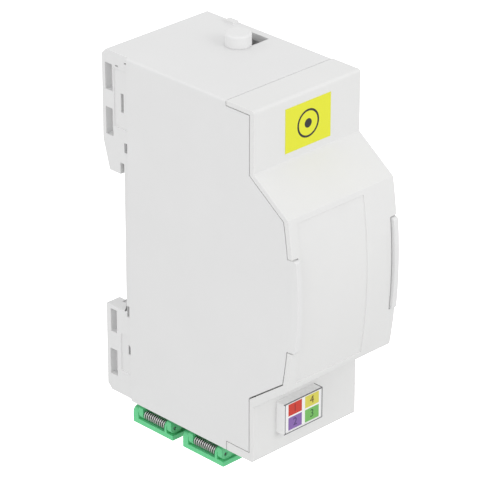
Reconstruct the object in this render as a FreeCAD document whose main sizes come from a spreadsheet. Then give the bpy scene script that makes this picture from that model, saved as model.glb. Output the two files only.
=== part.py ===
"""Two-module fibre box for a 35 mm DIN rail, with four shuttered SC couplers.

Millimetres. The origin is the middle of the seat that lies on the rail's front
plane. X runs to the right, Y to the back and Z up, so the front faces -Y.
"""
import FreeCAD, Part
import os
import re
import Sketcher

# Driving sizes: name, value, what it measures
SIZES = [
    ("body_width", 36.0, "two modules of 18 mm"),
    ("front_plane", 46.1, "recessed front plane, ahead of the rail seat"),
    ("body_top", 46.8, "top face above the rail centre"),
    ("body_bottom", 47.5, "bottom edge below the rail centre"),
    ("side_back", 2.1, "back edge of the flat sides, ahead of the rail seat"),
    ("wall", 2.0, "side and top wall"),
    ("back_wall", 2.0, "wall behind the rail seat"),
    ("edge_round", 0.6, "rounding of moulded outer edges"),
    ("nose_reach", 11.4, "nose edge ahead of the recessed front plane"),
    ("nose_crown", 2.0, "bow of the nose face"),
    ("nose_top", 22.4, "upper edge of the nose face above the rail centre"),
    ("nose_low", 23.2, "lower edge of the nose face below the rail centre"),
    ("upper_step", 30.6, "foot of the upper slope above the rail centre"),
    ("lower_step", 32.0, "foot of the lower slope below the rail centre"),
    ("cover_wall", 1.4, "front wall of the cover"),
    ("low_nose_share", 0.97, "rise of the lower slope's inner corner at the nose, times the wall"),
    ("low_step_share", 1.33, "rise of the lower slope's inner corner at its foot, times the wall"),
    ("cover_top", 1.3, "top flange of the cover"),
    ("cover_bottom", 2.3, "bottom flange of the cover"),
    ("cover_overlap", 9.3, "depth of both flanges"),
    ("seam", 0.2, "joint gap between cover and housing"),
    ("skirt", 1.2, "inner skirt of the cover"),
    ("skirt_depth", 6.0, "reach of the inner skirt behind the front wall"),
    ("skirt_gap", 0.25, "gap between skirt and side wall"),
    ("panel_side", 2.8, "panel of the nose face, set in from the left side"),
    ("panel_wide", 22.6, "width of the panel"),
    ("panel_rim", 1.5, "panel set in from the nose edges"),
    ("panel_deep", 0.3, "depth of the panel"),
    ("tongue_half", 12.3, "half height of the side tongues"),
    ("tongue_lift", 2.3, "tongue face ahead of the nose edge"),
    ("tongue_crown", 0.7, "bow of the tongue face"),
    ("tongue_taper", 0.5, "tongue tip set in from the side"),
    ("tongue_round", 0.7, "rounding of the tongue's corners"),
    ("ledge", 1.6, "rebate bar under the cover's top flange"),
    ("ear_depth", 7.5, "back of the rail ears behind the seat"),
    ("ear_inset", 0.8, "ear cheeks set in from the side"),
    ("ear_taper", 22.5, "where the upper ear starts to taper"),
    ("ear_tip", 5.3, "depth of the hook at its tip"),
    ("hook_tip", 14.6, "hook tip above the rail centre"),
    ("lip_gap", 1.3, "gap for the rail lip behind the seat"),
    ("hook_root", 17.8, "bottom of the lip gap above the rail centre"),
    ("seat_low", 22.6, "lower end of the rail seat"),
    ("ear_bevel", 1.5, "bevel at the back of the ears"),
    ("pocket_depth", 2.2, "depth of the moulding pockets in the cheeks"),
    ("frame_depth", 0.3, "depth of the shallow frame round the small upper pocket"),
    ("rib", 1.4, "rib of the upper ear"),
    ("rib_count", 4, "pockets between the ribs"),
    ("rib_foot", 2.6, "floor under the ribs"),
    ("pip_side", 1.8, "pip on the top face, across"),
    ("pip_long", 3.0, "pip on the top face, front to back"),
    ("pip_tall", 0.7, "pip above the top face"),
    ("rib_side", 3.0, "outer wall of the ribbed upper ear"),
    ("lower_back", 2.0, "back face of the lower wall behind the seat"),
    ("lower_wall", 1.4, "lower back wall"),
    ("cheek", 4.6, "lower ear cheek"),
    ("ear_low", 23.1, "top of the lower ear below the rail centre"),
    ("slide_gap", 0.1, "running clearance of the latch and of the coupler plate"),
    ("latch_gap", 0.3, "gap between the latch plate and the ear cheeks"),
    ("latch_rail", 1.5, "side rail of the latch"),
    ("rail_in", 0.8, "side rail set in from both faces of the latch"),
    ("latch_front", 2.2, "front face of the latch behind the seat"),
    ("latch_thick", 3.6, "latch plate"),
    ("latch_foot", 47.2, "lower end of the latch below the rail centre"),
    ("latch_nose", 15.2, "nose tip below the rail centre"),
    ("latch_nose_half", 9.0, "half width of the latch nose"),
    ("window_half", 3.2, "half width of the spring window"),
    ("window_top", 26.2, "top of the spring window below the rail centre"),
    ("post_top", 38.0, "top of the spring post below the rail centre"),
    ("post_tall", 3.0, "height of the spring post"),
    ("spring_out", 3.8, "latch spring outer diameter"),
    ("spring_wire", 0.5, "latch spring wire"),
    ("spring_turns", 5, "latch spring turns"),
    ("plate_level", 41.5, "underside of the coupler plate below the rail centre"),
    ("plate_thick", 1.8, "coupler plate"),
    ("plate_lip", 1.6, "front lip of the coupler plate"),
    ("coupler_rear", 7.7, "rear coupler axis ahead of the rail seat"),
    ("coupler_pitch", 18.3, "distance from rear to front coupler"),
    ("shell_x", 9.3, "coupler shell, short side"),
    ("shell_y", 13.0, "coupler shell, long side"),
    ("shell_out", 11.85, "coupler shell below the plate"),
    ("shell_in", 12.4, "coupler shell above the underside of the plate"),
    ("shell_wall", 0.95, "coupler shell wall"),
    ("collar_x", 11.0, "coupler collar, short side"),
    ("collar_y", 14.6, "coupler collar, long side"),
    ("collar_thick", 1.6, "coupler collar"),
    ("web", 1.8, "wall between the two ports of a coupler"),
    ("barrel_out", 4.4, "ferrule barrel outer diameter"),
    ("barrel_long", 13.6, "ferrule barrel length"),
    ("sleeve_out", 3.2, "split sleeve outer diameter"),
    ("sleeve_bore", 2.5, "split sleeve bore, for a 2.5 mm ferrule"),
    ("sleeve_long", 11.4, "split sleeve length"),
    ("slit", 0.4, "slit of the sleeve"),
    ("hinge_out", 1.65, "flap hinge axis outside the coupler shell"),
    ("hinge_level", 10.4, "flap hinge axis below the plate"),
    ("pin_size", 1.0, "flap pin diameter"),
    ("pin_gap", 0.05, "running clearance round the flap pin"),
    ("knuckle", 3.0, "hinge knuckle diameter"),
    ("ear_long", 1.6, "hinge ear of the coupler, each end"),
    ("ear_front", 0.6, "front hinge ear set in from the flap's end"),
    ("ear_gap", 0.1, "gap between a hinge ear and its neighbour"),
    ("flap_knuckle", 1.9, "rear knuckle of the flap"),
    ("small_knuckle", 0.8, "front knuckle of the flap"),
    ("flap_long", 14.6, "shutter flap along the hinge"),
    ("flap_thick", 1.4, "shutter flap"),
    ("flap_over", 0.3, "free edge of the flap beyond the shell"),
    ("flap_rest", 0.05, "gap between closed flap and coupler"),
    ("coil_out", 2.9, "flap spring outer diameter"),
    ("coil_wire", 0.4, "flap spring wire"),
    ("coil_turns", 6, "flap spring turns"),
    ("clip_thick", 0.3, "retaining clip sheet"),
    ("tray_post", 3.0, "posts of the splice tray on the left wall"),
    ("post_size", 5.0, "diameter of the tray posts"),
    ("tray_thick", 1.5, "splice tray plate"),
    ("tray_front", 41.0, "front edge of the tray ahead of the rail seat"),
    ("tray_back", 5.0, "back edge of the tray ahead of the rail seat"),
    ("tray_top", 41.0, "top of the tray above the rail centre"),
    ("tray_bottom", 26.0, "bottom of the tray below the rail centre"),
    ("tray_round", 12.0, "corner radius of the tray"),
    ("tray_free", 4.5, "end of the tray rim left of the middle"),
    ("tray_wall", 1.2, "rim of the tray"),
    ("comb_pitch", 4.4, "distance between splice grooves"),
    ("comb_tall", 4.2, "height of the splice fins"),
    ("comb_base", 1.0, "base of the comb"),
    ("comb_fins", 5, "fins in a row"),
    ("fin", 1.2, "thickness of a fin"),
    ("fin_long", 8.0, "length of a fin"),
    ("fin_rows", 20.0, "distance between the two rows of fins"),
    ("comb_level", 7.0, "middle of the comb above the rail centre"),
    ("screw_hole", 1.6, "pilot hole of the small screws"),
    ("screw_thread", 1.5, "shank of the small screws"),
    ("screw_head", 3.8, "head of the small screws"),
    ("slot_side", 0.6, "cable slot, set in from the right wall"),
    ("slot_wide", 5.7, "cable slot width"),
    ("slot_front", 17.5, "cable slot, front edge ahead of the rail seat"),
    ("slot_back", 10.5, "cable slot, back edge ahead of the rail seat"),
    ("plug_side", 2.1, "entry plug axis left of the slot"),
    ("plug_y", 14.8, "entry plug axis ahead of the rail seat"),
    ("plug_head", 6.7, "entry plug head diameter"),
    ("plug_neck", 4.7, "entry plug neck diameter"),
    ("plug_bevel", 0.4, "bevel of the plug's head"),
    ("plug_tall", 3.3, "entry plug head above the top face"),
    ("clamp_side", 8.0, "cable clamp axis from the right wall"),
    ("clamp_z", 26.0, "cable clamp above the rail centre"),
    ("clamp_bore", 4.0, "cable that the clamp holds"),
    ("clamp_wide", 8.0, "width of the clamp strap"),
    ("clamp_thick", 1.6, "clamp strap"),
    ("clamp_post", 3.0, "screw posts of the clamp"),
    ("clamp_boss", 4.4, "diameter of the clamp posts"),
    ("sticker_left", 7.6, "yellow sticker, left edge left of the middle"),
    ("sticker_wide", 15.3, "yellow sticker width"),
    ("sticker_low", 32.6, "yellow sticker, lower edge above the rail centre"),
    ("sticker_tall", 11.5, "yellow sticker height"),
    ("foil", 0.1, "sticker foil"),
    ("holder_left", 10.1, "label holder, left edge left of the middle"),
    ("holder_wide", 13.4, "label holder width"),
    ("holder_low", 41.7, "label holder, lower edge below the rail centre"),
    ("holder_tall", 8.5, "label holder height"),
    ("holder_deep", 2.8, "label holder ahead of the front plane"),
    ("holder_rim", 0.5, "rim round the label card"),
    ("card", 0.3, "label card"),
]

# Places that follow from the driving sizes
PLACES = {
    "half": "body_width / 2",
    "inner_half": "body_width / 2 - wall",
    "ear_half": "body_width / 2 - ear_inset",
    "latch_half": "cheek_in - latch_gap",
    "coupler_x": "inner_half / 2",
    "slot_right": "inner_half - slot_side",
    "slot_left": "slot_right - slot_wide",
    "plug_x": "slot_left - plug_side",
    "clamp_x": "inner_half - clamp_side",
    "tray_level": "inner_half - tray_post",
    "tray_rim": "tray_in - tray_free",
    "under_cover": "cover_wall + seam",
    "top_lean": "tan(atan(nose_reach / (upper_step - nose_top)) / 2)",
    "flange_end": "front_plane - cover_overlap",
    "nose_edge": "front_plane + nose_reach",
    "panel_bow": "nose_crown * (1 - 2 * panel_rim / (nose_top + nose_low))^2",
    "beyond": "front_plane + nose_reach + 12",
    "plate_top": "plate_level - plate_thick",
    "rear_y": "-coupler_rear",
    "front_y": "-(coupler_rear + coupler_pitch)",
    "post_foot": "post_top + post_tall",
    "spring_y": "latch_front + latch_thick / 2",
    "cheek_in": "ear_half - cheek",
    "hinge_x": "-(shell_x / 2 + hinge_out)",
    "hinge_round": "shell_out - hinge_level",
    "front_ear": "-flap_long / 2 + ear_front",
    "rear_ear": "flap_long / 2 - flap_knuckle - ear_gap - ear_long",
    "front_knuckle": "front_ear + ear_long + ear_gap",
    "spring_start": "front_knuckle + small_knuckle + 2 * ear_gap",
    "tray_in": "tray_level - tray_thick",
    "clamp_bolt": "clamp_bore / 2 + clamp_thick + screw_head / 2 + 0.2",
}

# Heights of the two tray screws above the rail centre
TRAY_SCREWS = ("28", "-14")

doc = FreeCAD.newDocument("din_rail_fibre_box")
sheet = doc.addObject("Spreadsheet::Sheet", "Sizes")
for row, (alias, value, meaning) in enumerate(SIZES, 1):
    sheet.set(f"A{row}", str(value))
    sheet.setAlias(f"A{row}", alias)
    sheet.set(f"B{row}", meaning)
doc.recompute()
ALIASES = {alias for alias, value, meaning in SIZES}


def tied(text):
    """An expression on the sheet, with every place spelled out in sizes."""
    def spell(match):
        word = match.group(0)
        if word in PLACES:
            return "(" + tied(PLACES[word]) + ")"
        return "Sizes." + word if word in ALIASES else word
    return re.sub(r"[a-z_]+", spell, str(text))


def at(text):
    """The value of an expression on the sheet."""
    return float(sheet.evalExpression(tied(text)))


def bind(thing, prop, text):
    thing.setExpression(prop, tied(text))


def new_body(label):
    body = doc.addObject("PartDesign::Body", label)
    body.Label = label
    return body


PLANES = {"x": "YZ_Plane", "y": "XZ_Plane", "z": "XY_Plane"}


def new_sketch(body, axis, level):
    """A sketch square to an axis; the XZ plane's own normal points to -Y."""
    sketch = body.newObject("Sketcher::SketchObject", body.Label + "_sketch")
    plane = [f for f in body.Origin.OriginFeatures if f.Role == PLANES[axis]][0]
    sketch.AttachmentSupport = [(plane, "")]
    sketch.MapMode = "FlatFace"
    bind(sketch, "AttachmentOffset.Base.z", f"-({level})" if axis == "y" else level)
    return sketch


def tie_point(sketch, edge, end, place):
    for kind, text in zip(("DistanceX", "DistanceY"), place):
        row = sketch.addConstraint(Sketcher.Constraint(kind, -1, 1, edge, end, at(text)))
        sketch.setExpression(f"Constraints[{row}]", tied(text))


def outline(corners, arcs=None):
    """A closed outline. arcs gives the bow of the run that starts at a corner."""
    return "outline", corners, arcs or {}


def rect(across, along):
    """A rectangle between two pairs of places."""
    corners = [(across[0], along[0]), (across[1], along[0]), (across[1], along[1]), (across[0], along[1])]
    return outline(corners)


def ring(centre, size):
    """A circle of a centre and a diameter."""
    return "ring", centre, size


def draw_outline(sketch, corners, arcs):
    first = sketch.GeometryCount
    count = len(corners)
    spots = [FreeCAD.Vector(at(u), at(v), 0) for u, v in corners]
    for i, spot in enumerate(spots):
        after = spots[(i + 1) % count]
        if i in arcs:
            chord = after - spot
            aside = FreeCAD.Vector(chord.y, -chord.x, 0).normalize()
            crest = (spot + after) * 0.5 + aside * at(arcs[i])
            sketch.addGeometry(Part.Arc(spot, crest, after), False)
        else:
            sketch.addGeometry(Part.LineSegment(spot, after), False)
    ends = {}
    for i in range(count):
        start = sketch.getPoint(first + i, 1)
        ends[i] = (1, 2) if start.distanceToPoint(spots[i]) < 1e-6 else (2, 1)
    for i in range(count):
        after = (i + 1) % count
        sketch.addConstraint(Sketcher.Constraint("Coincident", first + i, ends[i][1],
                                                 first + after, ends[after][0]))
        tie_point(sketch, first + i, ends[i][0], corners[i])
        if i in arcs:
            (u, v), (far_u, far_v), bow = corners[i], corners[after], f"abs({arcs[i]})"
            radius = f"((({far_u}) - ({u}))^2 + (({far_v}) - ({v}))^2) / (8 * {bow}) + {bow} / 2"
            row = sketch.addConstraint(Sketcher.Constraint("Radius", first + i, at(radius)))
            sketch.setExpression(f"Constraints[{row}]", tied(radius))


def draw_ring(sketch, centre, size):
    spot = FreeCAD.Vector(at(centre[0]), at(centre[1]), 0)
    edge = sketch.addGeometry(Part.Circle(spot, FreeCAD.Vector(0, 0, 1), at(size) / 2), False)
    tie_point(sketch, edge, 3, centre)
    row = sketch.addConstraint(Sketcher.Constraint("Diameter", edge, at(size)))
    sketch.setExpression(f"Constraints[{row}]", tied(size))


def prism(body, axis, start, end, shapes, cut=False):
    """Pad or pocket of one or more shapes from start to end along an axis."""
    near_end = (end if cut else start) if axis != "y" else (start if cut else end)
    sketch = new_sketch(body, axis, near_end)
    for kind, first, second in shapes:
        (draw_outline if kind == "outline" else draw_ring)(sketch, first, second)
    before = body.Shape.Volume if body.Tip else 0.0
    feature = body.newObject("PartDesign::Pocket" if cut else "PartDesign::Pad", body.Label + "_step")
    feature.Profile = sketch
    bind(feature, "Length", f"({end}) - ({start})")
    doc.recompute()
    change = body.Shape.Volume - before
    if (change >= 0) if cut else (change <= 0):
        raise RuntimeError(f"{feature.Name} changes nothing")


def block(body, xs, ys, zs, cut=False):
    """Pad or pocket of a box between pairs of places."""
    prism(body, "z", zs[0], zs[1], [rect(xs, ys)], cut)


def drum(body, axis, start, end, centre, size, cut=False):
    """Pad or pocket of a round from start to end along an axis."""
    prism(body, axis, start, end, [ring(centre, size)], cut)


def soften(body, wanted, radius, kind="PartDesign::Fillet"):
    """Round or bevel the edges that the test picks."""
    names = [f"Edge{i}" for i, edge in enumerate(body.Shape.Edges, 1) if wanted(edge)]
    last = body.Tip
    feature = body.newObject(kind, body.Label + "_edge")
    feature.Base = (last, names)
    bind(feature, "Radius" if kind.endswith("Fillet") else "Size", radius)
    doc.recompute()
    if "Invalid" in feature.State:
        raise RuntimeError(f"{feature.Name} can't be rounded on {len(names)} edges")


def front_line(inset):
    """Corners of the stepped front, set in from the outer face, from top to bottom."""
    return [
        (f"-(front_plane - ({inset}))", f"upper_step - top_lean * ({inset})"),
        (f"-(nose_edge - ({inset}))", f"nose_top - top_lean * ({inset})"),
        (f"-(nose_edge - ({inset}))", f"-(nose_low - low_nose_share * ({inset}))"),
        (f"-(front_plane - ({inset}))", f"-(lower_step - low_step_share * ({inset}))"),
    ]


def housing():
    """Tub with side walls, top, back, rail ears and the side tongues."""
    body = new_body("housing")
    step_y = "-(flange_end - seam)"
    ledge_top = "body_top - cover_top - seam"
    side = [(step_y, "body_top"), (step_y, ledge_top), ("-(front_plane - under_cover)", ledge_top)]
    side += front_line("under_cover")
    side += [("-(front_plane - under_cover)", "-(body_bottom - cover_bottom - seam)"),
             (step_y, "-(body_bottom - cover_bottom - seam)"), (step_y, "-body_bottom"),
             ("-side_back", "-body_bottom"), ("-side_back", "body_top")]
    prism(body, "x", "-half", "half", [outline(side, {4: "nose_crown"})])
    outer, top = at("half"), at("body_top")
    soften(body, lambda e: abs(abs(e.CenterOfMass.x) - outer) < 0.01 and e.BoundBox.ZMin > top - 0.01,
           "edge_round")

    tongue = [("-(front_plane + 2)", "tongue_half"), ("-(nose_edge + tongue_lift)", "tongue_half"),
              ("-(nose_edge + tongue_lift)", "-tongue_half"), ("-(front_plane + 2)", "-tongue_half")]
    prism(body, "x", "-half", "half", [outline(tongue, {1: "tongue_crown"})])
    reach = at("nose_edge + tongue_lift / 2")
    soften(body, lambda e: e.BoundBox.XLength > 2 * outer - 0.01 and e.CenterOfMass.y < -reach,
           "tongue_round")
    tip = "-(nose_edge + tongue_lift + tongue_crown)"
    for side in ("", "-"):
        taper = [(f"{side}(half + 1)", f"{tip} - 1"), (f"{side}(half - tongue_taper)", f"{tip} - 1"),
                 (f"{side}(half - tongue_taper)", tip), (f"{side}half", "-nose_edge"),
                 (f"{side}(half + 1)", "-nose_edge")]
        prism(body, "z", "-nose_top", "nose_top", [outline(taper)], cut=True)

    back = [("-side_back - 1", "body_top"), ("ear_depth - ear_bevel", "body_top"),
            ("ear_depth", "body_top - ear_bevel"), ("ear_depth", "ear_taper"),
            ("ear_tip", "hook_tip"), ("lip_gap", "hook_tip"),
            ("lip_gap", "hook_root"), ("0", "hook_root"), ("0", "-seat_low"),
            ("lower_back - lower_wall", "-ear_low"), ("ear_depth", "-ear_low"),
            ("ear_depth", "-(body_bottom - ear_bevel)"), ("ear_depth - ear_bevel", "-body_bottom"),
            ("-side_back - 1", "-body_bottom")]
    prism(body, "x", "-ear_half", "ear_half", [outline(back)])

    inside_top = "body_top - wall"
    hollow = [("-beyond", inside_top), ("-back_wall", inside_top),
              ("-back_wall", "-(ear_low + lower_wall)"),
              ("lower_back - lower_wall", "-(ear_low + lower_wall)"),
              ("lower_back - lower_wall", "-(body_bottom + 5)"), ("-beyond", "-(body_bottom + 5)")]
    prism(body, "x", "-inner_half", "inner_half", [outline(hollow)], cut=True)

    latch_room = rect(("lower_back", "ear_depth + 1"), ("-(body_bottom + 1)", "-(ear_low - 1)"))
    prism(body, "x", "-cheek_in", "cheek_in", [latch_room], cut=True)
    groove = rect(("latch_front + rail_in - slide_gap", "latch_front + latch_thick - rail_in + slide_gap"),
                  ("-(body_bottom + 1)", "-(ear_low - 1)"))
    groove_half = "latch_half + latch_rail + slide_gap"
    prism(body, "x", f"-({groove_half})", groove_half, [groove], cut=True)
    post = rect(("-(window_half - 0.4)", "window_half - 0.4"), ("-post_foot", "-post_top"))
    prism(body, "y", "lower_back - 0.5", "latch_front + latch_thick", [post])

    above = ("-plate_top + slide_gap", "-plate_top + slide_gap + 1.2")
    below = ("-plate_level - slide_gap - 1.2", "-plate_level - slide_gap")
    left, right = ("-inner_half - 0.1", "-inner_half + 1"), ("inner_half - 1", "inner_half + 0.1")
    runners = [rect(wide, tall) for wide in (left, right) for tall in (above, below)]
    prism(body, "y", "-(flange_end - 3)", "lower_back - lower_wall + 0.1", runners)
    block(body, ("-inner_half - 0.1", "inner_half + 0.1"), ("-(flange_end + 2)", "-(flange_end - 1.5)"),
          (f"{ledge_top} - ledge", ledge_top))

    ribs(body)
    cheek_pockets(body)
    top_entry(body)
    inner_posts(body)

    return body


def ribs(body):
    """Ribbed back of the upper ear: four pockets that open to the back."""
    room = "(2 * (ear_half - rib_side) - (rib_count - 1) * rib) / rib_count"
    pockets = []
    for i in range(int(at("rib_count"))):
        left = f"-ear_half + rib_side + {i} * ({room} + rib)"
        pockets.append(rect((left, f"{left} + {room}"), ("hook_root + rib_foot", "body_top - wall")))
    prism(body, "y", "lip_gap + 0.5", "ear_depth + 1", pockets, cut=True)


def cheek_pockets(body):
    """Moulding pockets in the outer faces of the ear cheeks: back to front, then height."""
    pockets = [
        rect(("ear_depth - 3.8", "ear_depth - 1.2"), ("36.1", "43.2")),
        rect(("ear_depth - 3.8", "ear_depth - 1.2"), ("24.1", "31.4")),
        rect(("0.1", "1.1"), ("31.3", "36.3")),
        rect(("-1.2", "-0.2"), ("20.9", "23.5")),
        rect(("1.7", "2.7"), ("43.1", "43.5")),
        rect(("-1.7", "-0.5"), ("44.6", "45.0")),
        rect(("ear_depth - 3.8", "ear_depth - 1.6"), ("-30.6", "-24.2")),
        rect(("ear_depth - 3.8", "ear_depth - 1.2"), ("-42.9", "-35.6")),
        rect(("-1.3", "-0.2"), ("-35.2", "-32.6")),
        rect(("-1", "-0.2"), ("-24.4", "-21.3")),
    ]
    frames = [rect(("-1.5", "3.2"), ("27", "42.6")), rect(("-1", "2.2"), ("-40.6", "-30"))]
    for shapes, depth in ((frames, "frame_depth"), (pockets, "pocket_depth")):
        prism(body, "x", f"ear_half - {depth}", "ear_half + 1", shapes, cut=True)
        prism(body, "x", "-(ear_half + 1)", f"-(ear_half - {depth})", shapes, cut=True)


def top_entry(body):
    """Cable slot with a round lobe for the entry plug, and a small pip behind it."""
    block(body, ("slot_left", "slot_right"), ("-slot_front", "-slot_back"),
          ("body_top - wall - 1", "body_top + 1"), cut=True)
    drum(body, "z", "body_top - wall - 1", "body_top + 1", ("plug_x", "-plug_y"), "plug_neck + 0.2", cut=True)
    block(body, ("ear_half - pip_side", "ear_half"), ("-side_back - pip_long", "-side_back"),
          ("body_top - pip_tall", "body_top + pip_tall"))


def inner_posts(body):
    """Screw posts for the tray on the left wall and for the clamp on the back wall."""
    spots = [("-(tray_front + tray_back) / 2", level) for level in TRAY_SCREWS]
    shapes = [ring(spot, "post_size") for spot in spots] + [ring(spot, "screw_hole") for spot in spots]
    prism(body, "x", "-inner_half - 0.1", "-tray_level", shapes)
    spots = [(f"clamp_x {sign} clamp_bolt", "clamp_z") for sign in "-+"]
    shapes = [ring(spot, "clamp_boss") for spot in spots] + [ring(spot, "screw_hole") for spot in spots]
    prism(body, "y", "-back_wall - clamp_post", "-back_wall + 0.1", shapes)


def front_cover():
    """Bent hood over the front, with a top and a bottom flange and inner skirts."""
    body = new_body("front_cover")
    hood = [("-flange_end", "body_top"), ("-front_plane", "body_top")] + front_line("0")
    hood += [("-front_plane", "-body_bottom"), ("-flange_end", "-body_bottom"),
             ("-flange_end", "-(body_bottom - cover_bottom)"),
             ("-(front_plane - cover_wall)", "-(body_bottom - cover_bottom)")]
    hood += front_line("cover_wall")[::-1]
    hood += [("-(front_plane - cover_wall)", "body_top - cover_top"), ("-flange_end", "body_top - cover_top")]
    prism(body, "x", "-half", "half", [outline(hood, {3: "nose_crown", 11: "-nose_crown"})])

    deep = "(cover_wall + skirt_depth)"
    sheet_line = front_line("cover_wall - 0.3")
    behind = front_line(deep)
    skirt_side = [("-(front_plane - cover_wall + 0.3)", "upper_step + 6")] + sheet_line
    skirt_side += [("-(front_plane - cover_wall + 0.3)", "-(lower_step + 4)"),
                   (f"-(front_plane - {deep})", "-(lower_step + 4)")]
    skirt_side += behind[::-1] + [(f"-(front_plane - {deep})", "upper_step + 6")]
    outer, inner = "inner_half - skirt_gap", "inner_half - skirt_gap - skirt"
    for low, high in ((f"-({outer})", f"-({inner})"), (inner, outer)):
        prism(body, "x", low, high, [outline(skirt_side)])

    gap = "tongue_half + seam"
    for low, high in (("-half - 1", "-inner_half + seam"), ("inner_half - seam", "half + 1")):
        block(body, (low, high), ("-beyond", "-(front_plane + 1)"), (f"-({gap})", gap), cut=True)

    face = "-(nose_edge + nose_crown - panel_bow - panel_deep)"
    top, low = "nose_top - panel_rim", "-(nose_low - panel_rim)"
    panel = [("-beyond", top), (face, top), (face, low), ("-beyond", low)]
    prism(body, "x", "-half + panel_side", "-half + panel_side + panel_wide",
          [outline(panel, {1: "panel_bow"})], cut=True)

    half = at("half")
    front = -at("front_plane") + 0.05
    soften(body, lambda e: abs(abs(e.CenterOfMass.x)) < 0.01 and e.BoundBox.XLength > half
           and e.BoundBox.YMax < front and abs(e.CenterOfMass.z) > at("lower_step") + 1, "edge_round + 0.2")
    return body


def rail_latch():
    """Sliding foot: plate with a bevelled nose, side rails, spring window and pull eye."""
    body = new_body("rail_latch")
    front, back = "latch_front", "latch_front + latch_thick"
    block(body, ("-latch_half", "latch_half"), (front, back), ("-latch_foot", "-(ear_low + 0.3)"))
    rail = "latch_half + latch_rail"
    block(body, (f"-({rail})", rail), ("latch_front + rail_in", "latch_front + latch_thick - rail_in"),
          ("-latch_foot", "-(ear_low + 0.3)"))
    nose = [(front, "-(ear_low + 2)"), (back, "-(ear_low + 2)"), (back, "-(latch_nose + 4)"),
            ("lip_gap + 1.5", "-latch_nose"), ("lip_gap", "-latch_nose"), ("lip_gap", "-(latch_nose + 2.6)"),
            (front, "-(latch_nose + 3.5)")]
    prism(body, "x", "-latch_nose_half", "latch_nose_half", [outline(nose)])
    block(body, ("-window_half", "window_half"), ("latch_front - 1", "latch_front + latch_thick + 1"),
          ("-post_foot", "-window_top"), cut=True)
    block(body, ("-5", "5"), ("latch_front - 1", "latch_front + latch_thick + 1"),
          ("-(latch_foot - 1.4)", "-(latch_foot - 4)"), cut=True)
    return body


def coil(label, axis_start, direction, length, outer, wire, turns):
    """A coil spring swept along its helix, with square wire."""
    body = new_body(label)
    sketch = body.newObject("Sketcher::SketchObject", label + "_wire")
    plane = [f for f in body.Origin.OriginFeatures if f.Role == "XZ_Plane"][0]
    sketch.AttachmentSupport = [(plane, "")]
    sketch.MapMode = "FlatFace"
    wire_side = rect((f"{outer} / 2 - {wire}", f"{outer} / 2"), ("0", wire))
    draw_outline(sketch, wire_side[1], {})
    helix = body.newObject("PartDesign::AdditiveHelix", label + "_helix")
    helix.Profile = sketch
    helix.ReferenceAxis = (sketch, ["V_Axis"])
    helix.Mode = "height-turns-angle"
    bind(helix, "Height", f"{length} - {wire}")
    bind(helix, "Turns", turns)
    body.Placement = FreeCAD.Placement(axis_start, FreeCAD.Rotation(FreeCAD.Vector(0, 0, 1), direction))
    doc.recompute()
    return body


def latch_spring():
    start = FreeCAD.Vector(0, at("spring_y"), -at("post_top"))
    return coil("latch_spring", start, FreeCAD.Vector(0, 0, 1), "(post_top - window_top)",
                "spring_out", "spring_wire", "spring_turns")


def adapter_plate():
    """Plate that carries the couplers; it slides into the grooves of the housing."""
    body = new_body("adapter_plate")
    side = "inner_half - slide_gap"
    back = "lower_back - lower_wall - slide_gap"
    lip = "-(flange_end - seam)"
    block(body, (f"-({side})", side), (lip, back), ("-plate_level", "-plate_top"))
    block(body, (f"-({side})", side), (lip, f"{lip} + plate_lip"), ("-body_bottom", "-plate_top"))
    for across in ("-coupler_x", "coupler_x"):
        for along in ("rear_y", "front_y"):
            block(body, (f"{across} - shell_x / 2 - 0.1", f"{across} + shell_x / 2 + 0.1"),
                  (f"{along} - shell_y / 2 - 0.1", f"{along} + shell_y / 2 + 0.1"),
                  ("-plate_level - 1", "-plate_top + 1"), cut=True)
    return body


def seat_coupler(body, index):
    """Set a piece drawn about the coupler axis into its port. The right pair is turned round."""
    across = "-coupler_x" if index in (1, 2) else "coupler_x"
    along = "rear_y" if index in (1, 4) else "front_y"
    turned = 0 if index in (1, 2) else 180
    spot = FreeCAD.Vector(at(across), at(along), -at("plate_level"))
    port = FreeCAD.Placement(spot, FreeCAD.Rotation(FreeCAD.Vector(0, 0, 1), turned))
    body.Placement = port.multiply(body.Placement)
    doc.recompute()
    return body


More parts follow.
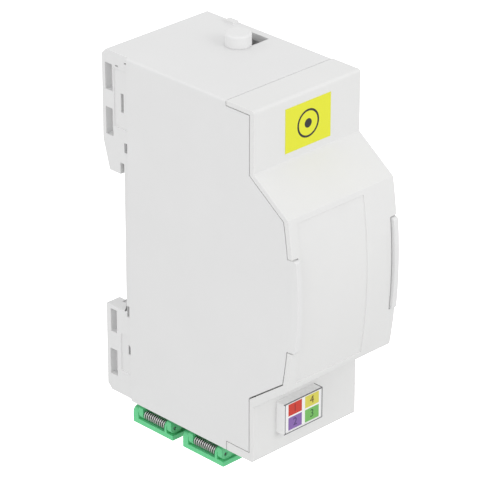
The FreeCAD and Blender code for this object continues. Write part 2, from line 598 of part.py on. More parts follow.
def coupler(index):
    """SC coupler: square shell with two ports, a web, a ferrule barrel, hooks and hinge ears."""
    body = new_body(f"sc_coupler_{index}")
    sx, sy = "shell_x / 2", "shell_y / 2"
    block(body, (f"-{sx}", sx), (f"-{sy}", sy), ("-shell_out", "shell_in"))
    block(body, ("-collar_x / 2", "collar_x / 2"), ("-collar_y / 2", "collar_y / 2"), ("-collar_thick", "0"))
    port_x, port_y = f"({sx} - shell_wall)", f"({sy} - shell_wall)"
    block(body, (f"-{port_x}", port_x), (f"-{port_y}", port_y), ("-shell_out - 1", "-web / 2"), cut=True)
    block(body, (f"-{port_x}", port_x), (f"-{port_y}", port_y), ("web / 2", "shell_in + 1"), cut=True)
    drum(body, "z", "-barrel_long / 2", "barrel_long / 2", ("0", "0"), "barrel_out")
    drum(body, "z", "-barrel_long / 2 - 1", "barrel_long / 2 + 1", ("0", "0"), "sleeve_out + 0.1", cut=True)
    for low, high in ((f"-{port_y} + 0.7", f"-{port_y} + 1.6"), (f"{port_y} - 1.6", f"{port_y} - 0.7")):
        block(body, ("-1.6", "1.6"), (low, high), ("-barrel_long / 2 - 0.6", "-web / 4"))
        block(body, ("-1.6", "1.6"), (low, high), ("web / 4", "barrel_long / 2 + 0.6"))
    key_half, key_deep = 1.5, 4.5
    block(body, (f"{sx} - shell_wall - 0.5", f"{sx} + 1"), (-key_half, key_half),
          ("-shell_out - 1", f"-shell_out + {key_deep}"), cut=True)

    axis = ("hinge_x", "-hinge_level")
    for start in ("rear_ear", "front_ear"):
        ear = [("hinge_x - hinge_round", "-hinge_level + 1.9"),
               (f"-{sx} + 0.3", "-hinge_level + 3.6"), (f"-{sx} + 0.3", "-shell_out"),
               ("hinge_x", "-shell_out"), ("hinge_x - hinge_round", "-hinge_level")]
        rounded = outline(ear, {3: "-hinge_round * (1 - sqrt(2) / 2)"})
        prism(body, "y", start, f"{start} + ear_long", [rounded, ring(axis, "pin_size")])
    return seat_coupler(body, index)


def coupler_sleeve(index):
    """Ceramic sleeve with one lengthwise slit."""
    body = new_body(f"coupler_sleeve_{index}")
    drum(body, "z", "-sleeve_long / 2", "sleeve_long / 2", ("0", "0"), "sleeve_out")
    drum(body, "z", "-sleeve_long / 2 - 1", "sleeve_long / 2 + 1", ("0", "0"), "sleeve_bore", cut=True)
    block(body, ("sleeve_bore / 4", "sleeve_out"), ("-slit / 2", "slit / 2"),
          ("-sleeve_long / 2 - 1", "sleeve_long / 2 + 1"), cut=True)
    return seat_coupler(body, index)


def coupler_clip(index):
    """Spring steel band round the shell that holds the coupler on the plate."""
    body = new_body(f"coupler_clip_{index}")
    sx, sy = "shell_x / 2", "shell_y / 2"
    low, high = "plate_thick + 0.05", "plate_thick + 5.5"
    block(body, (f"-{sx} - clip_thick - 0.05", f"{sx} + clip_thick + 0.05"),
          (f"-{sy} - clip_thick - 0.05", f"{sy} + clip_thick + 0.05"), (low, high))
    block(body, (f"-{sx} - 0.05", f"{sx} + 0.05"), (f"-{sy} - 0.05", f"{sy} + 0.05"),
          (f"{low} - 1", f"{high} + 1"), cut=True)
    wing = f"{sy} + clip_thick"
    for sign in (-1, 1):
        leaf = [(f"{sign} * ({wing})", f"{low} + 4.6"), (f"{sign} * ({wing} + 0.9)", low),
                (f"{sign} * ({wing} + 1.2)", low), (f"{sign} * ({wing} + 0.3)", f"{low} + 4.6")]
        if sign < 0:
            leaf = leaf[::-1]
        prism(body, "x", "-2.2", "2.2", [outline(leaf)])
    return seat_coupler(body, index)


def coupler_flap(index):
    """Dust and laser flap: plate over the port with two knuckles on the hinge pin."""
    body = new_body(f"coupler_flap_{index}")
    top = "-(shell_out + flap_rest)"
    low = f"{top} - flap_thick"
    block(body, ("hinge_x - knuckle / 2", "shell_x / 2 + flap_over"), ("-flap_long / 2", "flap_long / 2"),
          (low, top))
    ends = [("flap_long / 2 - flap_knuckle", "flap_long / 2"),
            ("front_knuckle", "front_knuckle + small_knuckle")]
    for start, end in ends:
        web = [("hinge_x - knuckle / 2", f"{top} - 0.2"), ("hinge_x + knuckle / 2", f"{top} - 0.2"),
               ("hinge_x + knuckle / 2", "-hinge_level"), ("hinge_x - knuckle / 2", "-hinge_level")]
        prism(body, "y", start, end, [outline(web)])
        drum(body, "y", start, end, ("hinge_x", "-hinge_level"), "knuckle")
        drum(body, "y", f"({start}) - 0.3", f"({end}) + 0.3", ("hinge_x", "-hinge_level"),
             "pin_size + 2 * pin_gap", cut=True)
    return seat_coupler(body, index)


def flap_pin(index):
    body = new_body(f"flap_pin_{index}")
    drum(body, "y", "front_ear + ear_front / 2", "flap_long / 2 - ear_front / 2",
         ("hinge_x", "-hinge_level"), "pin_size")
    return seat_coupler(body, index)


def flap_spring(index):
    """Torsion spring round the flap pin."""
    start = FreeCAD.Vector(at("hinge_x"), at("spring_start"), -at("hinge_level"))
    body = coil(f"flap_spring_{index}", start, FreeCAD.Vector(0, 1, 0), "(rear_ear - ear_gap - spring_start)",
                "coil_out", "coil_wire", "coil_turns")
    return seat_coupler(body, index)


def splice_tray():
    """Tray plate with a rim on the left wall; slack fibre is wound inside the rim."""
    body = new_body("splice_tray")
    plate = rect(("-tray_front", "-tray_back"), ("-tray_bottom", "tray_top"))
    prism(body, "x", "-tray_level", "-tray_in + tray_rim", [plate])
    inner = rect(("-tray_front + tray_wall", "-tray_back - tray_wall"),
                 ("-tray_bottom + tray_wall", "tray_top - tray_wall"))
    prism(body, "x", "-tray_in", "-tray_in + tray_rim + 1", [inner], cut=True)
    foot = -at("tray_level") + 0.01
    for radius, outer in (("tray_round - tray_wall", False), ("tray_round", True)):
        soften(body, lambda e: e.BoundBox.YLength < 0.01 and e.BoundBox.ZLength < 0.01
               and (e.BoundBox.XMin < foot) == outer, radius)
    holes = [ring(("-(tray_front + tray_back) / 2", level), "screw_thread + 0.3") for level in TRAY_SCREWS]
    prism(body, "x", "-tray_level - 1", "-tray_in + 1", holes, cut=True)
    return body


def splice_comb():
    """Comb with two rows of fins; each groove holds one splice sleeve."""
    body = new_body("splice_comb")
    middle = "-(tray_front + tray_back) / 2"
    side, end = "comb_fins * comb_pitch / 2", "(fin_rows + fin_long) / 2 + 1"
    base = rect((f"{middle} - {side}", f"{middle} + {side}"),
                (f"comb_level - ({end})", f"comb_level + {end}"))
    prism(body, "x", "-tray_in", "-tray_in + comb_base", [base])
    fins = []
    for i in range(int(at("comb_fins"))):
        place = f"{middle} + ({i} - (comb_fins - 1) / 2) * comb_pitch"
        for row in ("comb_level - fin_rows / 2", "comb_level + fin_rows / 2"):
            fins.append(rect((f"{place} - fin / 2", f"{place} + fin / 2"),
                             (f"{row} - fin_long / 2", f"{row} + fin_long / 2")))
    prism(body, "x", "-tray_in + comb_base", "-tray_in + comb_base + comb_tall", fins)
    return body


def screw(label, spots):
    """Pan head screws, one solid each, joined in one group."""
    screws = []
    for i, (spot, direction) in enumerate(spots):
        body = new_body(f"{label}_{i + 1}")
        drum(body, "z", "-4", "0", ("0", "0"), "screw_thread")
        drum(body, "z", "0", "1.2", ("0", "0"), "screw_head")
        block(body, ("-1.3", "1.3"), ("-0.25", "0.25"), ("0.6", "2"), cut=True)
        turn = FreeCAD.Rotation(FreeCAD.Vector(0, 0, 1), direction)
        body.Placement = FreeCAD.Placement(spot, turn)
        screws.append(body)
    group = doc.addObject("Part::Compound", label)
    group.Label = label
    group.Links = screws
    doc.recompute()
    return group


def tray_screws():
    middle = -at("tray_front + tray_back") / 2
    head = -at("tray_in")
    spots = [(FreeCAD.Vector(head, middle, at(level)), FreeCAD.Vector(1, 0, 0)) for level in TRAY_SCREWS]
    return screw("tray_screws", spots)


def clamp_screws():
    level = -at("back_wall + clamp_post + clamp_thick")
    spots = [(FreeCAD.Vector(at("clamp_x") + sign * at("clamp_bolt"), level, at("clamp_z")),
              FreeCAD.Vector(0, -1, 0)) for sign in (-1, 1)]
    return screw("clamp_screws", spots)


def cable_clamp():
    """Strap with a round saddle, screwed across the two posts of the back wall."""
    body = new_body("cable_clamp")
    foot = "-back_wall - clamp_post"
    reach = "clamp_bolt + 2.2"
    low, high = "clamp_z - clamp_wide / 2", "clamp_z + clamp_wide / 2"
    block(body, (f"clamp_x - ({reach})", f"clamp_x + {reach}"), (f"{foot} - clamp_thick", foot), (low, high))
    drum(body, "z", low, high, ("clamp_x", f"{foot} - 1"), "clamp_bore + 2 * clamp_thick")
    drum(body, "z", f"{low} - 1", f"{high} + 1", ("clamp_x", f"{foot} - 1"), "clamp_bore", cut=True)
    block(body, (f"clamp_x - ({reach}) - 1", f"clamp_x + {reach} + 1"), (foot, f"{foot} + 6"),
          (f"{low} - 1", f"{high} + 1"), cut=True)
    holes = [ring((f"clamp_x {sign} clamp_bolt", "clamp_z"), "screw_thread + 0.3") for sign in "-+"]
    prism(body, "y", f"{foot} - 3", f"{foot} + 1", holes, cut=True)
    return body


def entry_plug():
    """Push-in plug with a round head, a neck in the top wall and a barb below it."""
    body = new_body("entry_plug")
    spot = ("plug_x", "-plug_y")
    drum(body, "z", "body_top", "body_top + plug_tall", spot, "plug_head")
    drum(body, "z", "body_top - wall - 2.4", "body_top", spot, "plug_neck")
    top = at("body_top + plug_tall")
    soften(body, lambda e: abs(e.CenterOfMass.z - top) < 0.01 and e.BoundBox.ZLength < 0.01, "plug_bevel",
           "PartDesign::Chamfer")
    return body


def front_sticker():
    body = new_body("front_sticker")
    foil = rect(("-sticker_left", "-sticker_left + sticker_wide"),
                ("sticker_low", "sticker_low + sticker_tall"))
    prism(body, "y", "-front_plane - foil", "-front_plane", [foil])
    return body


def label_holder():
    """Raised holder for the port card on the lower front."""
    body = new_body("label_holder")
    left, right = "-holder_left", "-holder_left + holder_wide"
    low, high = "-holder_low", "-holder_low + holder_tall"
    face = "-front_plane - holder_deep"
    prism(body, "y", face, "-front_plane", [rect((left, right), (low, high))])
    inner = rect((f"{left} + holder_rim", f"{right} - holder_rim"),
                 (f"{low} + holder_rim", f"{high} - holder_rim"))
    prism(body, "y", f"{face} - 1", f"{face} + card + 0.1", [inner], cut=True)
    return body


def port_label():
    """Printed card with four fields, one for each port."""
    body = new_body("port_label")
    inset = "holder_rim + 0.05"
    face = "-front_plane - holder_deep"
    card = rect((f"-holder_left + {inset}", f"-holder_left + holder_wide - ({inset})"),
               (f"-holder_low + {inset}", f"-holder_low + holder_tall - ({inset})"))
    prism(body, "y", f"{face} + 0.1", f"{face} + card + 0.1", [card])
    return body


pieces = [housing(), front_cover(), rail_latch(), latch_spring(), adapter_plate()]
for port in (1, 2, 3, 4):
    pieces += [coupler(port), coupler_sleeve(port), coupler_clip(port), coupler_flap(port), flap_pin(port),
               flap_spring(port)]
pieces += [splice_tray(), splice_comb(), tray_screws(), cable_clamp(), clamp_screws(), entry_plug(),
           front_sticker(), label_holder(), port_label()]

doc.recompute()
for thing in doc.Objects:
    if {"Invalid", "Error"} & set(thing.State):
        raise RuntimeError(f"{thing.Label} failed: {thing.State}")
for piece in pieces:
    if piece.Shape.isNull() or not piece.Shape.isValid():
        raise RuntimeError(f"{piece.Label} has no valid shape")

os.makedirs("parts", exist_ok=True)
for piece in pieces:
    piece.Shape.exportStep(f"parts/{piece.Label}.step")
    print(piece.Label, len(piece.Shape.Solids), round(piece.Shape.Volume, 1))
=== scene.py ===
"""Looks of a two-module fibre box for a DIN rail. Metres; X right, Y to the back, Z up."""

import math

import bpy
from mathutils import Matrix, Vector


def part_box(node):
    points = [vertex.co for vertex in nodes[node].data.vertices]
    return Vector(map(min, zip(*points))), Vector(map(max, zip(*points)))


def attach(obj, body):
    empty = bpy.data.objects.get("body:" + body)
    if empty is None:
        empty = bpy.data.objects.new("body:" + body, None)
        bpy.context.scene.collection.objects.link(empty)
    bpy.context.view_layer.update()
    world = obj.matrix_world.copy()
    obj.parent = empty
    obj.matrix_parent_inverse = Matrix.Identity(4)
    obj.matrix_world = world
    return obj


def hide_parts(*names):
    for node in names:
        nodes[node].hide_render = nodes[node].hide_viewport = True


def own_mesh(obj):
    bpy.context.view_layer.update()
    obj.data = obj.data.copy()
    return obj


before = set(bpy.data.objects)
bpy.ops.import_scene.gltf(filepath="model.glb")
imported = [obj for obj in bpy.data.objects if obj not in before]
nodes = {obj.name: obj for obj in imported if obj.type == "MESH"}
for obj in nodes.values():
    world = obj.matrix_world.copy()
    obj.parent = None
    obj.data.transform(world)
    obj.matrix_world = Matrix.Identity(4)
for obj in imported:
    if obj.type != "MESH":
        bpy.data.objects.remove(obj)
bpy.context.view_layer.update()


# The camera stands in front of the box, left of it and above it, with a long lens,
# as for a catalogue picture.
link = bpy.context.scene.collection.objects.link
camera_data = bpy.data.cameras.new("camera")
camera_data.lens = 250.85
camera_data.clip_end = 20
camera = bpy.data.objects.new("camera", camera_data)
camera.location = (-0.51789, -0.55129, 0.36471)
camera.rotation_euler = (math.radians(63.708), 0, math.radians(-44.438))
link(camera)
bpy.context.scene.camera = camera


# The studio is a sheet of white paper under a white sky. Three large soft boxes give the
# faces their small differences in brightness. To the camera the paper is pure white.
def soft_box(name, place, size, power):
    """A round area light that faces the origin."""
    light = bpy.data.lights.new(name, "AREA")
    light.shape = "DISK"
    light.size = size
    light.energy = power
    lamp = bpy.data.objects.new(name, light)
    lamp.location = place
    lamp.rotation_euler = Vector(place).to_track_quat("Z", "Y").to_euler()
    link(lamp)


soft_box("front_soft_box", (0.25, -1.4, 0.7), size=0.9, power=4.9)
soft_box("left_soft_box", (-1.4, -0.3, 0.25), size=0.8, power=3.2)
soft_box("back_soft_box", (-0.8, 1.3, 1.2), size=0.7, power=1.8)

sky = bpy.data.worlds.new("sky")
sky.use_nodes = True
sky_light = sky.node_tree.nodes["Background"]
sky_light.inputs["Color"].default_value = (1, 1, 1, 1)
sky_light.inputs["Strength"].default_value = 0.92
bpy.context.scene.world = sky
bpy.context.scene.view_settings.view_transform = "Standard"

floor_half, floor_level = 2.5, -0.085
floor_corners = [(x * floor_half, y * floor_half, floor_level)
                 for x, y in ((-1, -1), (1, -1), (1, 1), (-1, 1))]
floor_mesh = bpy.data.meshes.new("floor")
floor_mesh.from_pydata(floor_corners, [], [(0, 1, 2, 3)])
floor = bpy.data.objects.new("floor", floor_mesh)
link(floor)
paper = bpy.data.materials.new("white_paper")
paper.use_nodes = True
sheet = paper.node_tree.nodes["Principled BSDF"]
sheet.inputs["Base Color"].default_value = (0.72, 0.72, 0.72, 1)
sheet.inputs["Roughness"].default_value = 0.95
sheet.inputs["Specular IOR Level"].default_value = 0.0
sheet.inputs["Emission Color"].default_value = (1, 1, 1, 1)
seen_by = paper.node_tree.nodes.new("ShaderNodeLightPath")
paper.node_tree.links.new(seen_by.outputs["Is Camera Ray"], sheet.inputs["Emission Strength"])
floor_mesh.materials.append(paper)


# The housing is a tub of light grey PC/ABS from one mould, with side walls, back, top,
# rail ears and the long side tongues. Its faces have a fine spark-eroded grain.
def node_group(name, kind, inputs, outputs):
    """A node group with named sockets, and the two nodes that stand for its ends."""
    tree = bpy.data.node_groups.new(name, kind)
    for label, (socket, start) in inputs.items():
        made = tree.interface.new_socket(label, in_out="INPUT", socket_type="NodeSocket" + socket)
        if start is not None:
            made.default_value = start
    for label, socket in outputs.items():
        tree.interface.new_socket(label, in_out="OUTPUT", socket_type="NodeSocket" + socket)
    return tree, tree.nodes.new("NodeGroupInput"), tree.nodes.new("NodeGroupOutput")


def number(tree, operation, *values):
    """One sum in a shader tree, on values or on sockets."""
    node = tree.nodes.new("ShaderNodeMath")
    node.operation = operation
    for socket, value in zip(node.inputs, values):
        if isinstance(value, (int, float)):
            socket.default_value = value
        else:
            tree.links.new(value, socket)
    return node.outputs[0]


def moulded_grain():
    """Shader group: slow clouds in the colour, fine grain in height and roughness."""
    tree, given, result = node_group(
        "moulded_grain", "ShaderNodeTree",
        {"Colour": ("Color", (0.8, 0.8, 0.8, 1)), "Cloud Share": ("Float", 0.04),
         "Cloud Scale": ("Float", 60.0), "Grain Scale": ("Float", 3500.0),
         "Roughness": ("Float", 0.5), "Roughness Share": ("Float", 0.15)},
        {"Colour": "Color", "Roughness": "Float", "Height": "Float"})
    place = tree.nodes.new("ShaderNodeTexCoord")
    clouds, grain = tree.nodes.new("ShaderNodeTexNoise"), tree.nodes.new("ShaderNodeTexNoise")
    clouds.inputs["Detail"].default_value = 3
    grain.inputs["Detail"].default_value = 4
    grain.inputs["Roughness"].default_value = 0.6
    for noise, scale in ((clouds, "Cloud Scale"), (grain, "Grain Scale")):
        tree.links.new(place.outputs["Object"], noise.inputs["Vector"])
        tree.links.new(given.outputs[scale], noise.inputs["Scale"])

    def around_one(noise, share):
        """1 plus the noise's distance from its middle, times the share."""
        from_middle = number(tree, "SUBTRACT", noise.outputs["Fac"], 0.5)
        return number(tree, "MULTIPLY_ADD", from_middle, given.outputs[share], 1.0)

    tint = tree.nodes.new("ShaderNodeVectorMath")
    tint.operation = "SCALE"
    tree.links.new(given.outputs["Colour"], tint.inputs[0])
    tree.links.new(around_one(clouds, "Cloud Share"), tint.inputs["Scale"])
    tree.links.new(tint.outputs[0], result.inputs["Colour"])
    dull = number(tree, "MULTIPLY", given.outputs["Roughness"], around_one(grain, "Roughness Share"))
    tree.links.new(dull, result.inputs["Roughness"])
    tree.links.new(grain.outputs["Fac"], result.inputs["Height"])
    return tree


GRAIN = moulded_grain()


def finish_with_grain(name, colour, roughness, grain_scale=3500.0, grain_height=0.000004,
                      cloud_share=0.04, cloud_scale=60.0, metallic=0.0, coat=0.0):
    """A material whose colour, gloss and relief come from the moulded grain."""
    material = bpy.data.materials.new(name)
    material.use_nodes = True
    tree = material.node_tree
    skin = tree.nodes["Principled BSDF"]
    skin.inputs["Metallic"].default_value = metallic
    skin.inputs["Coat Weight"].default_value = coat
    skin.inputs["Coat Roughness"].default_value = 0.12
    texture = tree.nodes.new("ShaderNodeGroup")
    texture.node_tree = GRAIN
    texture.name = "grain"
    for socket, value in (("Colour", (*colour, 1)), ("Roughness", roughness), ("Grain Scale", grain_scale),
                          ("Cloud Share", cloud_share), ("Cloud Scale", cloud_scale)):
        texture.inputs[socket].default_value = value
    relief = tree.nodes.new("ShaderNodeBump")
    relief.inputs["Strength"].default_value = 1.0
    relief.inputs["Distance"].default_value = grain_height
    tree.links.new(texture.outputs["Colour"], skin.inputs["Base Color"])
    tree.links.new(texture.outputs["Roughness"], skin.inputs["Roughness"])
    tree.links.new(texture.outputs["Height"], relief.inputs["Height"])
    tree.links.new(relief.outputs["Normal"], skin.inputs["Normal"])
    return material


def pass_on(tree, *steps):
    """Hand the geometry from each node to the next."""
    for step, following in zip(steps, steps[1:]):
        tree.links.new(step.outputs["Geometry"], following.inputs["Geometry"])


def weld_tree():
    """Geometry nodes: welds a CAD node's loose triangles and shades them smooth."""
    tree, given, result = node_group(
        "weld_faces", "GeometryNodeTree",
        {"Geometry": ("Geometry", None), "Weld Distance": ("Float", 1e-6)}, {"Geometry": "Geometry"})
    plain = tree.nodes.new("GeometryNodeRemoveAttribute")
    plain.inputs["Name"].default_value = "custom_normal"
    weld = tree.nodes.new("GeometryNodeMergeByDistance")
    tree.links.new(given.outputs["Weld Distance"], weld.inputs["Distance"])
    pass_on(tree, given, plain, weld, tree.nodes.new("GeometryNodeSetShadeSmooth"), result)
    return tree


def crease_tree():
    """Geometry nodes: keeps every edge crisp that is sharper than an angle."""
    tree, given, result = node_group(
        "crisp_edges", "GeometryNodeTree",
        {"Geometry": ("Geometry", None), "Crisp Angle": ("Float", 0.6)}, {"Geometry": "Geometry"})
    fold = tree.nodes.new("GeometryNodeInputMeshEdgeAngle")
    sharp = tree.nodes.new("FunctionNodeCompare")
    sharp.data_type, sharp.operation = "FLOAT", "GREATER_THAN"
    crisp = tree.nodes.new("GeometryNodeSetShadeSmooth")
    crisp.domain = "EDGE"
    crisp.inputs["Shade Smooth"].default_value = False
    tree.links.new(fold.outputs["Unsigned Angle"], sharp.inputs["A"])
    tree.links.new(given.outputs["Crisp Angle"], sharp.inputs["B"])
    tree.links.new(sharp.outputs["Result"], crisp.inputs["Selection"])
    pass_on(tree, given, crisp, result)
    return tree


WELD, CREASE = weld_tree(), crease_tree()
flat_within, corner_from, face_weight = math.radians(0.6), math.radians(28), 80


def dress(name, material, edge, steps=3):
    """A CAD node gets its material and its moulded or rolled edges; edge 0 leaves it sharp."""
    piece = nodes[name]
    piece.data.materials.clear()
    piece.data.materials.append(material)
    weld = piece.modifiers.new("weld_faces", "NODES")
    weld.node_group = WELD
    flat = piece.modifiers.new("flat_faces", "DECIMATE")
    flat.decimate_type = "DISSOLVE"
    flat.angle_limit = flat_within
    if edge:
        bevel = piece.modifiers.new("moulded_edges", "BEVEL")
        bevel.width = edge
        bevel.segments = steps
        bevel.limit_method = "ANGLE"
        bevel.angle_limit = corner_from
        bevel.use_clamp_overlap = False
    crisp = piece.modifiers.new("crisp_edges", "NODES")
    crisp.node_group = CREASE
    faces = piece.modifiers.new("flat_shading", "WEIGHTED_NORMAL")
    faces.keep_sharp = True
    faces.weight = face_weight


shell_plastic = finish_with_grain("shell_plastic", (0.745, 0.745, 0.745), 0.48)
dress("housing", shell_plastic, edge=0.00012)


# The front cover is a hood of the same plastic that snaps over the tub. It has a plain
# recessed panel on its nose.
cover_plastic = finish_with_grain("cover_plastic", (0.75, 0.75, 0.745), 0.45)
dress("front_cover", cover_plastic, edge=0.00012)


# The rail latch is a grey acetal foot that slides in grooves of the tub. It is smoother
# and a little darker than the shell.
latch_plastic = finish_with_grain("latch_plastic", (0.66, 0.66, 0.665), 0.36, cloud_share=0.06)
dress("rail_latch", latch_plastic, edge=0.00015)


# The latch spring is a plain coil of bright drawn steel wire. It stands in its seat in
# the tub.
def winding_tree():
    """Geometry nodes: a round wire wound in turns about Z."""
    tree, given, result = node_group(
        "wound_wire", "GeometryNodeTree",
        {"Geometry": ("Geometry", None), "Turns": ("Float", 6.0), "Coil Radius": ("Float", 0.001),
         "Height": ("Float", 0.007), "Wire Radius": ("Float", 0.0002), "Steps": ("Int", 20),
         "Wire Sides": ("Int", 8), "Finish": ("Material", None)}, {"Geometry": "Geometry"})
    turns = tree.nodes.new("GeometryNodeCurveSpiral")
    for mine, theirs in (("Steps", "Resolution"), ("Turns", "Rotations"), ("Coil Radius", "Start Radius"),
                         ("Coil Radius", "End Radius"), ("Height", "Height")):
        tree.links.new(given.outputs[mine], turns.inputs[theirs])
    wire = tree.nodes.new("GeometryNodeCurvePrimitiveCircle")
    tree.links.new(given.outputs["Wire Sides"], wire.inputs["Resolution"])
    tree.links.new(given.outputs["Wire Radius"], wire.inputs["Radius"])
    drawn = tree.nodes.new("GeometryNodeCurveToMesh")
    drawn.inputs["Fill Caps"].default_value = True
    tree.links.new(turns.outputs["Curve"], drawn.inputs["Curve"])
    tree.links.new(wire.outputs["Curve"], drawn.inputs["Profile Curve"])
    smooth = tree.nodes.new("GeometryNodeSetShadeSmooth")
    tree.links.new(drawn.outputs["Mesh"], smooth.inputs["Geometry"])
    real = tree.nodes.new("GeometryNodeRealizeInstances")
    coat = tree.nodes.new("GeometryNodeSetMaterial")
    tree.links.new(given.outputs["Finish"], coat.inputs["Material"])
    pass_on(tree, smooth, real, coat, result)
    return tree


WINDING = winding_tree()


def wind(name, sizes, finish, place):
    """A spring made by the winding tree and set in its place."""
    maker = bpy.data.objects.new(name + "_maker", bpy.data.meshes.new(name + "_maker"))
    link(maker)
    modifier = maker.modifiers.new("wound_wire", "NODES")
    modifier.node_group = WINDING
    sockets = {item.name: item.identifier for item in WINDING.interface.items_tree
               if item.in_out == "INPUT"}
    for socket, size in sizes.items():
        modifier[sockets[socket]] = size
    modifier[sockets["Finish"]] = finish
    bpy.context.view_layer.update()
    mesh = bpy.data.meshes.new_from_object(maker.evaluated_get(bpy.context.evaluated_depsgraph_get()))
    bpy.data.objects.remove(maker)
    mesh.name = name
    mesh.transform(place)
    piece = bpy.data.objects.new(name, mesh)
    link(piece)
    return piece


spring_steel = finish_with_grain("spring_steel", (0.72, 0.70, 0.70), 0.3, grain_scale=5200.0,
                                 grain_height=0.000002, cloud_share=0.25, cloud_scale=1400.0, metallic=1.0)
low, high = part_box("latch_spring")
latch_wire, latch_travel = 0.00022, 0.004
spring_height = high.z - low.z
latch_spring = wind("latch_coil", {"Turns": 9.0, "Coil Radius": (high.x - low.x) / 2 - latch_wire,
                                   "Wire Radius": latch_wire, "Height": spring_height - 2 * latch_wire,
                                   "Steps": 20}, spring_steel,
                    Matrix.Translation(((low.x + high.x) / 2, (low.y + high.y) / 2, low.z + latch_wire)))
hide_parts("latch_spring")
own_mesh(latch_spring)
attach(latch_spring, "box")


# The coupler plate is a moulding coloured near black that slides into the grooves of the tub. It
# carries the four couplers.
plate_plastic = finish_with_grain("plate_plastic", (0.035, 0.035, 0.038), 0.5, cloud_share=0.1)
dress("adapter_plate", plate_plastic, edge=0.00015)


# Each coupler is a green satin shell with a ferrule barrel. A split sleeve of white
# ceramic sits in the barrel, and a band of spring steel sheet holds the shell.
coupler_plastic = finish_with_grain("coupler_plastic", (0.13, 0.62, 0.27), 0.34, cloud_share=0.12,
                                    cloud_scale=300.0, coat=0.15)
ceramic = finish_with_grain("sleeve_ceramic", (0.85, 0.84, 0.80), 0.12, grain_height=0.0000005, coat=0.6)
clip_steel = finish_with_grain("clip_steel", (0.60, 0.60, 0.61), 0.32, grain_scale=4200.0,
                               grain_height=0.000001, cloud_share=0.12, cloud_scale=500.0, metallic=1.0)
ports = (1, 2, 3, 4)
for port in ports:
    dress(f"sc_coupler_{port}", coupler_plastic, edge=0.00009, steps=2)
    dress(f"coupler_sleeve_{port}", ceramic, edge=0.00006, steps=2)
    dress(f"coupler_clip_{port}", clip_steel, edge=0.00005, steps=1)


# Each flap is a green moulding with two knuckles. It swings on a ground steel pin, and
# a torsion spring of round wire, here a plain coil round the pin, pushes it shut.
# The pin's near-black colour is painted shade: it makes the gaps between the coil's turns look dark.
pin_steel_painted_shade = finish_with_grain("pin_steel_painted_shade", (0.20, 0.20, 0.21), 0.3, grain_height=0.000001, metallic=1.0)
flap_plastic = finish_with_grain("flap_plastic", (0.13, 0.64, 0.28), 0.32, cloud_share=0.12,
                                 cloud_scale=300.0, coat=0.15)
coil_wire = 0.00015
for port in ports:
    dress(f"coupler_flap_{port}", flap_plastic, edge=0.00012, steps=2)
    dress(f"flap_pin_{port}", pin_steel_painted_shade, edge=0.00008, steps=2)
    low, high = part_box(f"flap_spring_{port}")
    middle = (low + high) / 2
    # The left pair's coils run from front to back, the right pair's from back to front.
    sense = 1 if middle.x < 0 else -1
    start_y = low.y + coil_wire if sense > 0 else high.y - coil_wire
    along_y = Matrix(((0, sense, 0), (0, 0, sense), (1, 0, 0))).to_4x4()
    coil = wind(f"flap_coil_{port}", {"Turns": 10.5, "Coil Radius": (high.z - low.z) / 2 - coil_wire,
                                      "Wire Radius": coil_wire, "Height": high.y - low.y - 2 * coil_wire,
                                      "Steps": 18}, spring_steel,
                Matrix.Translation((middle.x, start_y, middle.z)) @ along_y)
    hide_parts(f"flap_spring_{port}")
    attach(coil, f"flap_{port}")


# The splice tray is a grey moulding on the left wall, held by two pan head screws. The
# white comb in it grips the splice sleeves.
tray_plastic = finish_with_grain("tray_plastic", (0.42, 0.43, 0.44), 0.42, cloud_share=0.06)
comb_plastic = finish_with_grain("comb_plastic", (0.78, 0.78, 0.76), 0.4, cloud_share=0.05)
screw_steel = finish_with_grain("screw_steel", (0.60, 0.60, 0.60), 0.28, grain_height=0.000002,
                                cloud_share=0.2, cloud_scale=900.0, metallic=1.0)
dress("splice_tray", tray_plastic, edge=0.00015)
dress("splice_comb", comb_plastic, edge=0.0001, steps=2)
dress("tray_screws", screw_steel, edge=0.00008, steps=2)


# The cable clamp is a strap of the tray's plastic with a round saddle. Two screws pull
# it onto the posts of the back wall.
dress("cable_clamp", tray_plastic, edge=0.00012, steps=2)
dress("clamp_screws", screw_steel, edge=0.00008, steps=2)


# The entry plug closes the round hole in the top when no cable uses it. It is pushed
# in by hand and is a little glossier than the shell.
plug_plastic = finish_with_grain("plug_plastic", (0.76, 0.76, 0.76), 0.38)
dress("entry_plug", plug_plastic, edge=0.00015)


# The sticker on the upper front is die-cut yellow foil with a glued back. It is printed
# with a plain dark ring and a dot.
MM = 1000
MIX_SHARE, MIX_UNDER, MIX_OVER, MIX_RESULT = 0, 6, 7, 2     # the Mix node's sockets for colours


def lay_print_and_painted_shade(material, print_and_shade_layers):
    """Lay each colour over the material's own where its mask is 1: print, and on the label holder painted
    shade.
    """
    tree = material.node_tree
    colour = tree.nodes["grain"].outputs["Colour"]
    for ink, mask in print_and_shade_layers:
        mix = tree.nodes.new("ShaderNodeMix")
        mix.data_type = "RGBA"
        mix.inputs[MIX_OVER].default_value = (*ink, 1)
        tree.links.new(colour, mix.inputs[MIX_UNDER])
        tree.links.new(mask, mix.inputs[MIX_SHARE])
        colour = mix.outputs[MIX_RESULT]
    tree.links.new(colour, tree.nodes["Principled BSDF"].inputs["Base Color"])


def from_centre(tree, centre_x=0.0, centre_z=0.0):
    """Distances from a centre on the front, in millimetres, to the right, to the back and up."""
    place = tree.nodes.new("ShaderNodeTexCoord")
    centred = tree.nodes.new("ShaderNodeMapping")
    centred.inputs["Location"].default_value = (-centre_x * MM, 0, -centre_z * MM)
    centred.inputs["Scale"].default_value = (MM, MM, MM)
    tree.links.new(place.outputs["Object"], centred.inputs["Vector"])
    split = tree.nodes.new("ShaderNodeSeparateXYZ")
    tree.links.new(centred.outputs["Vector"], split.inputs[0])
    return split.outputs["X"], split.outputs["Y"], split.outputs["Z"]


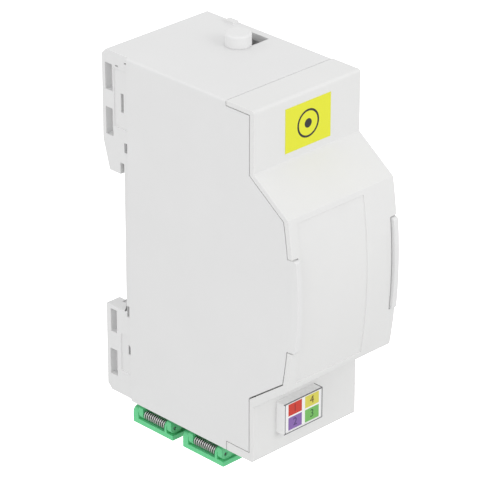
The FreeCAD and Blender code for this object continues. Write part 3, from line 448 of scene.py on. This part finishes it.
sticker_foil = finish_with_grain("sticker_foil", (0.76, 0.77, 0.022), 0.34, grain_height=0.000001,
                                 cloud_share=0.05)
ring_radius, ring_half_width, dot_radius = 3.4, 0.28, 1.2
low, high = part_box("front_sticker")
tree = sticker_foil.node_tree
right, _, up = from_centre(tree, (low.x + high.x) / 2, (low.z + high.z) / 2)
reach = number(tree, "SQRT", number(tree, "ADD", number(tree, "MULTIPLY", right, right),
                                    number(tree, "MULTIPLY", up, up)))
ring = number(tree, "COMPARE", reach, ring_radius, ring_half_width)
dot = number(tree, "LESS_THAN", reach, dot_radius)
lay_print_and_painted_shade(sticker_foil, [((0.02, 0.02, 0.02), number(tree, "MAXIMUM", ring, dot))])
dress("front_sticker", sticker_foil, edge=0)


# The label holder is a raised frame of white plastic on the lower front. The dark lines round its
# window and the short one on its top are painted shade, standing for the shadow lines along those edges.
holder_plastic = finish_with_grain("holder_plastic", (0.83, 0.83, 0.83), 0.42)
half_line, left_inset, top_line, bottom_line, sill_line, front_skin = 0.17, 0.40, 0.26, 0.30, 0.09, 0.14
low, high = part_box("label_holder")
tree = holder_plastic.node_tree
right, back, up = from_centre(tree)
on_front = number(tree, "LESS_THAN", back, low.y * MM + front_skin)
on_top = number(tree, "GREATER_THAN", up, high.z * MM - sill_line)
left_side = number(tree, "COMPARE", right, low.x * MM + left_inset, half_line)
right_side = number(tree, "COMPARE", right, high.x * MM - half_line, half_line)
sides = number(tree, "MAXIMUM", left_side, right_side)
ends = number(tree, "MAXIMUM", number(tree, "GREATER_THAN", up, high.z * MM - top_line),
              number(tree, "LESS_THAN", up, low.z * MM + bottom_line))
front_shade_lines = number(tree, "MULTIPLY", number(tree, "MAXIMUM", sides, ends), on_front)
top_shade_tick = number(tree, "MULTIPLY", on_top, right_side)
# The dark colour laid here is painted shade: the shadow lines along the window's edges and the top's right
# end.
lay_print_and_painted_shade(holder_plastic, [((0.12, 0.12, 0.13), number(tree, "MAXIMUM", front_shade_lines, top_shade_tick))])
dress("label_holder", holder_plastic, edge=0.00006, steps=2)


# The port card is white printed card behind the holder's window. It has one coloured
# field for each port, with the port's number in a darker ink.
card_print = finish_with_grain("card_print", (0.86, 0.86, 0.86), 0.6, grain_scale=6000.0,
                               grain_height=0.000002, cloud_share=0.04)
left_column, right_column = (-8.55, -3.85), (-2.75, 2.1)
upper_row, lower_row = (-37.05, -33.75), (-41.0, -37.5)
# Port: column and row in millimetres, colour of the field, colour of the number.
fields = {"1": (left_column, upper_row, (0.60, 0.040, 0.022), (0.34, 0.015, 0.012)),
          "4": (right_column, upper_row, (0.68, 0.62, 0.09), (0.10, 0.05, 0.01)),
          "2": (left_column, lower_row, (0.24, 0.13, 0.40), (0.08, 0.04, 0.16)),
          "3": (right_column, lower_row, (0.17, 0.48, 0.11), (0.03, 0.13, 0.03))}
tree = card_print.node_tree
right, _, up = from_centre(tree)


def within(distance, span):
    """1 where a distance lies between the ends of a span."""
    return number(tree, "COMPARE", distance, (span[0] + span[1]) / 2, (span[1] - span[0]) / 2)


lay_print_and_painted_shade(card_print, [(shade, number(tree, "MULTIPLY", within(right, column), within(up, row)))
                      for column, row, shade, ink in fields.values()])
dress("port_label", card_print, edge=0)

number_height, ink_half = 0.0030, 0.00001
low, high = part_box("port_label")
for digit, (column, row, shade, ink) in fields.items():
    text = bpy.data.curves.new(f"port_number_{digit}", "FONT")
    text.body = digit
    text.size = number_height
    text.align_x, text.align_y = "CENTER", "CENTER"
    text.extrude = ink_half
    writer = bpy.data.objects.new("writer", text)
    link(writer)
    bpy.context.view_layer.update()
    mesh = bpy.data.meshes.new_from_object(writer.evaluated_get(bpy.context.evaluated_depsgraph_get()))
    bpy.data.objects.remove(writer)
    mesh.name = f"port_number_{digit}"
    spot = Matrix.Translation((sum(column) / 2 / MM, low.y - ink_half, sum(row) / 2 / MM))
    mesh.transform(spot @ Matrix.Rotation(math.radians(90), 4, "X"))
    mesh.materials.clear()
    mesh.materials.append(finish_with_grain(f"ink_{digit}", ink, 0.5, cloud_share=0.1, cloud_scale=800.0))
    numeral = bpy.data.objects.new(f"port_number_{digit}", mesh)
    link(numeral)
    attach(numeral, "cover")
